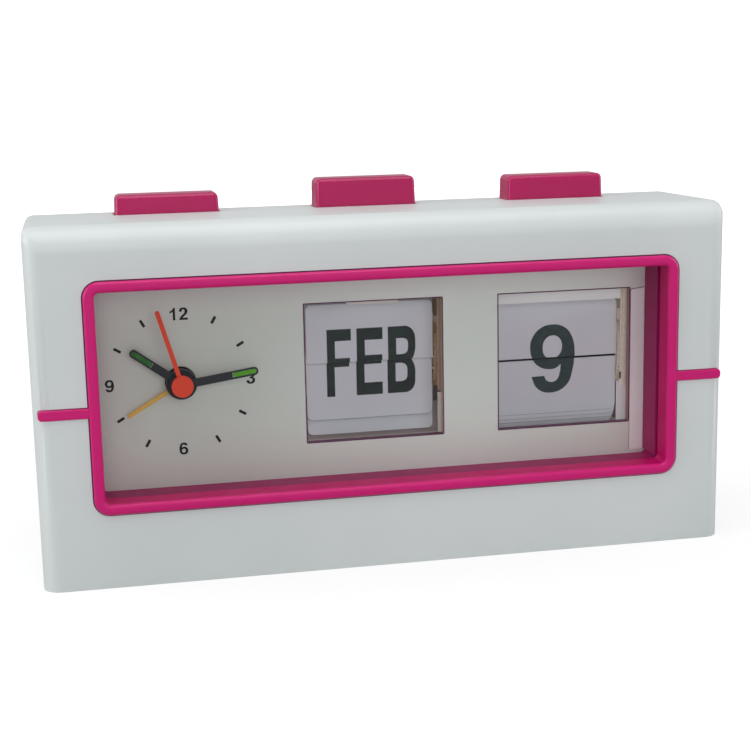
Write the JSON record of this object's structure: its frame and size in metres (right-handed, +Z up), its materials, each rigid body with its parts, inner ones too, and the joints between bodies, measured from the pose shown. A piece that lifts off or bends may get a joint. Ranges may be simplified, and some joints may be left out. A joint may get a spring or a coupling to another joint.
{
  "type": "desk clock",
  "caption": "Rectangular desk clock with an analogue alarm dial and push-button flip cards for month and date behind a framed clear lens.",
  "frame": {"origin": "middle of the base, on the surface that the clock stands on", "axes": "+X to the right seen from the front, +Y to the back, +Z up"},
  "size_m": [0.1782, 0.045, 0.0971],
  "materials": {
    "case_white": "fine matte white",
    "pink_plastic": "satin deep pink",
    "clear_lens": "clear and smooth",
    "dial_silver": "silver with a fine horizontal grain",
    "steel": "plain bright steel",
    "cream_plastic": "plain moulded cream",
    "pale_plastic": "plain moulded pale grey",
    "leaf_plastic": "smooth thin sheet",
    "black_plastic": "plain moulded black",
    "brass": "turned brass",
    "hand_black": "black paint",
    "hand_red": "red paint",
    "hand_orange": "orange paint",
    "cell_wrap": "printed sleeve, left plain"
  },
  "bodies": {
    "case": {"front_case": "case_white", "rear_cover": "case_white", "battery_door": "case_white", "bezel": "pink_plastic", "lens": "clear_lens", "dial_plate": "dial_silver", "case_screws": "steel", "dial_screws": "steel", "button_plate_screws": "steel", "movement_screws": "steel", "unit_screws": "steel", "alarm_button_spring": "steel", "month_button_spring": "steel", "date_button_spring": "steel", "battery_plus_contact": "steel", "battery_minus_contact": "steel", "month_axle": "steel", "date_axle": "steel", "button_plate": "pale_plastic", "month_frame": "pale_plastic", "date_frame": "pale_plastic", "month_card_stop": "pale_plastic", "date_card_stop": "pale_plastic", "month_leaves": "leaf_plastic", "date_leaves": "leaf_plastic", "movement_case": "black_plastic", "movement_cover": "black_plastic", "buzzer": "brass", "battery_cell": "cell_wrap"},
    "alarm_key": {"alarm_button": "pink_plastic", "alarm_push_rod": "cream_plastic"},
    "month_key": {"month_button": "pink_plastic", "month_push_rod": "cream_plastic"},
    "date_key": {"date_button": "pink_plastic", "date_push_rod": "cream_plastic"},
    "month_drum": {"month_spool": "cream_plastic", "month_ratchet": "cream_plastic"},
    "month_front_leaf": {"month_flap": "leaf_plastic"},
    "date_drum": {"date_spool": "cream_plastic", "date_ratchet": "cream_plastic"},
    "date_front_leaf": {"date_flap": "leaf_plastic"},
    "hour_wheel": {"hour_hand": "hand_black", "hour_pipe": "brass"},
    "minute_wheel": {"minute_hand": "hand_black", "minute_pipe": "brass"},
    "second_wheel": {"second_hand": "hand_red", "second_arbor": "steel"},
    "alarm_wheel": {"alarm_hand": "hand_orange", "alarm_pipe": "brass"},
    "time_setter": {"time_set_knob": "case_white", "time_set_shaft": "steel"},
    "alarm_setter": {"alarm_set_knob": "case_white", "alarm_set_shaft": "steel"}
  },
  "joints": [
    {"name": "alarm_press", "type": "slide", "parent": "case", "child": "alarm_key", "axis": [0, 0, -1], "range_m": [0, 0.002], "stiffness_N_per_m": 250, "springref_m": -0.002, "deforming": ["alarm_button_spring"]},
    {"name": "month_press", "type": "slide", "parent": "case", "child": "month_key", "axis": [0, 0, -1], "range_m": [0, 0.00437], "stiffness_N_per_m": 250, "springref_m": -0.002, "deforming": ["month_button_spring"]},
    {"name": "date_press", "type": "slide", "parent": "case", "child": "date_key", "axis": [0, 0, -1], "range_m": [0, 0.00173], "stiffness_N_per_m": 250, "springref_m": -0.002, "deforming": ["date_button_spring"]},
    {"name": "month_drum_turn", "type": "hinge", "parent": "case", "child": "month_drum", "pos_m": [-0.0014, 0.0078, 0.04915], "axis": [1, 0, 0], "range_deg": [0, 30]},
    {"name": "month_leaf_fall", "type": "hinge", "parent": "case", "child": "month_front_leaf", "pos_m": [-0.0014, 0.001, 0.04915], "axis": [1, 0, 0], "range_deg": [0, 180]},
    {"name": "date_drum_turn", "type": "hinge", "parent": "case", "child": "date_drum", "pos_m": [0.0504, 0.0078, 0.04715], "axis": [1, 0, 0], "range_deg": [0, 11.61]},
    {"name": "date_leaf_fall", "type": "hinge", "parent": "case", "child": "date_front_leaf", "pos_m": [0.0504, 0.001, 0.04715], "axis": [1, 0, 0], "range_deg": [0, 180]},
    {"name": "minute_turn", "type": "hinge", "parent": "case", "child": "minute_wheel", "pos_m": [-0.0522, 0, 0.04805], "axis": [0, 1, 0], "continuous": true},
    {"name": "hour_turn", "type": "hinge", "parent": "case", "child": "hour_wheel", "pos_m": [-0.0522, 0, 0.04805], "axis": [0, 1, 0], "continuous": true},
    {"name": "second_turn", "type": "hinge", "parent": "case", "child": "second_wheel", "pos_m": [-0.0522, 0, 0.04805], "axis": [0, 1, 0], "continuous": true},
    {"name": "alarm_turn", "type": "hinge", "parent": "case", "child": "alarm_wheel", "pos_m": [-0.0522, 0, 0.04805], "axis": [0, 1, 0], "continuous": true},
    {"name": "time_set_turn", "type": "hinge", "parent": "case", "child": "time_setter", "pos_m": [-0.0422, 0.012, 0.05505], "axis": [0, 1, 0], "continuous": true},
    {"name": "alarm_set_turn", "type": "hinge", "parent": "case", "child": "alarm_setter", "pos_m": [-0.0622, 0.012, 0.05505], "axis": [0, 1, 0], "continuous": true}
  ],
  "couplings": [
    {"joint": "month_drum_turn", "follows": "month_press", "rad_per_m": 119.7},
    {"joint": "month_leaf_fall", "follows": "month_press", "rad_per_m": 718.2},
    {"joint": "date_drum_turn", "follows": "date_press", "rad_per_m": 117.1},
    {"joint": "date_leaf_fall", "follows": "date_press", "rad_per_m": 1815.9},
    {"joint": "minute_turn", "follows": "time_set_turn", "ratio": 1},
    {"joint": "hour_turn", "follows": "time_set_turn", "ratio": 0.083333},
    {"joint": "alarm_turn", "follows": "alarm_set_turn", "ratio": 1}
  ]
}
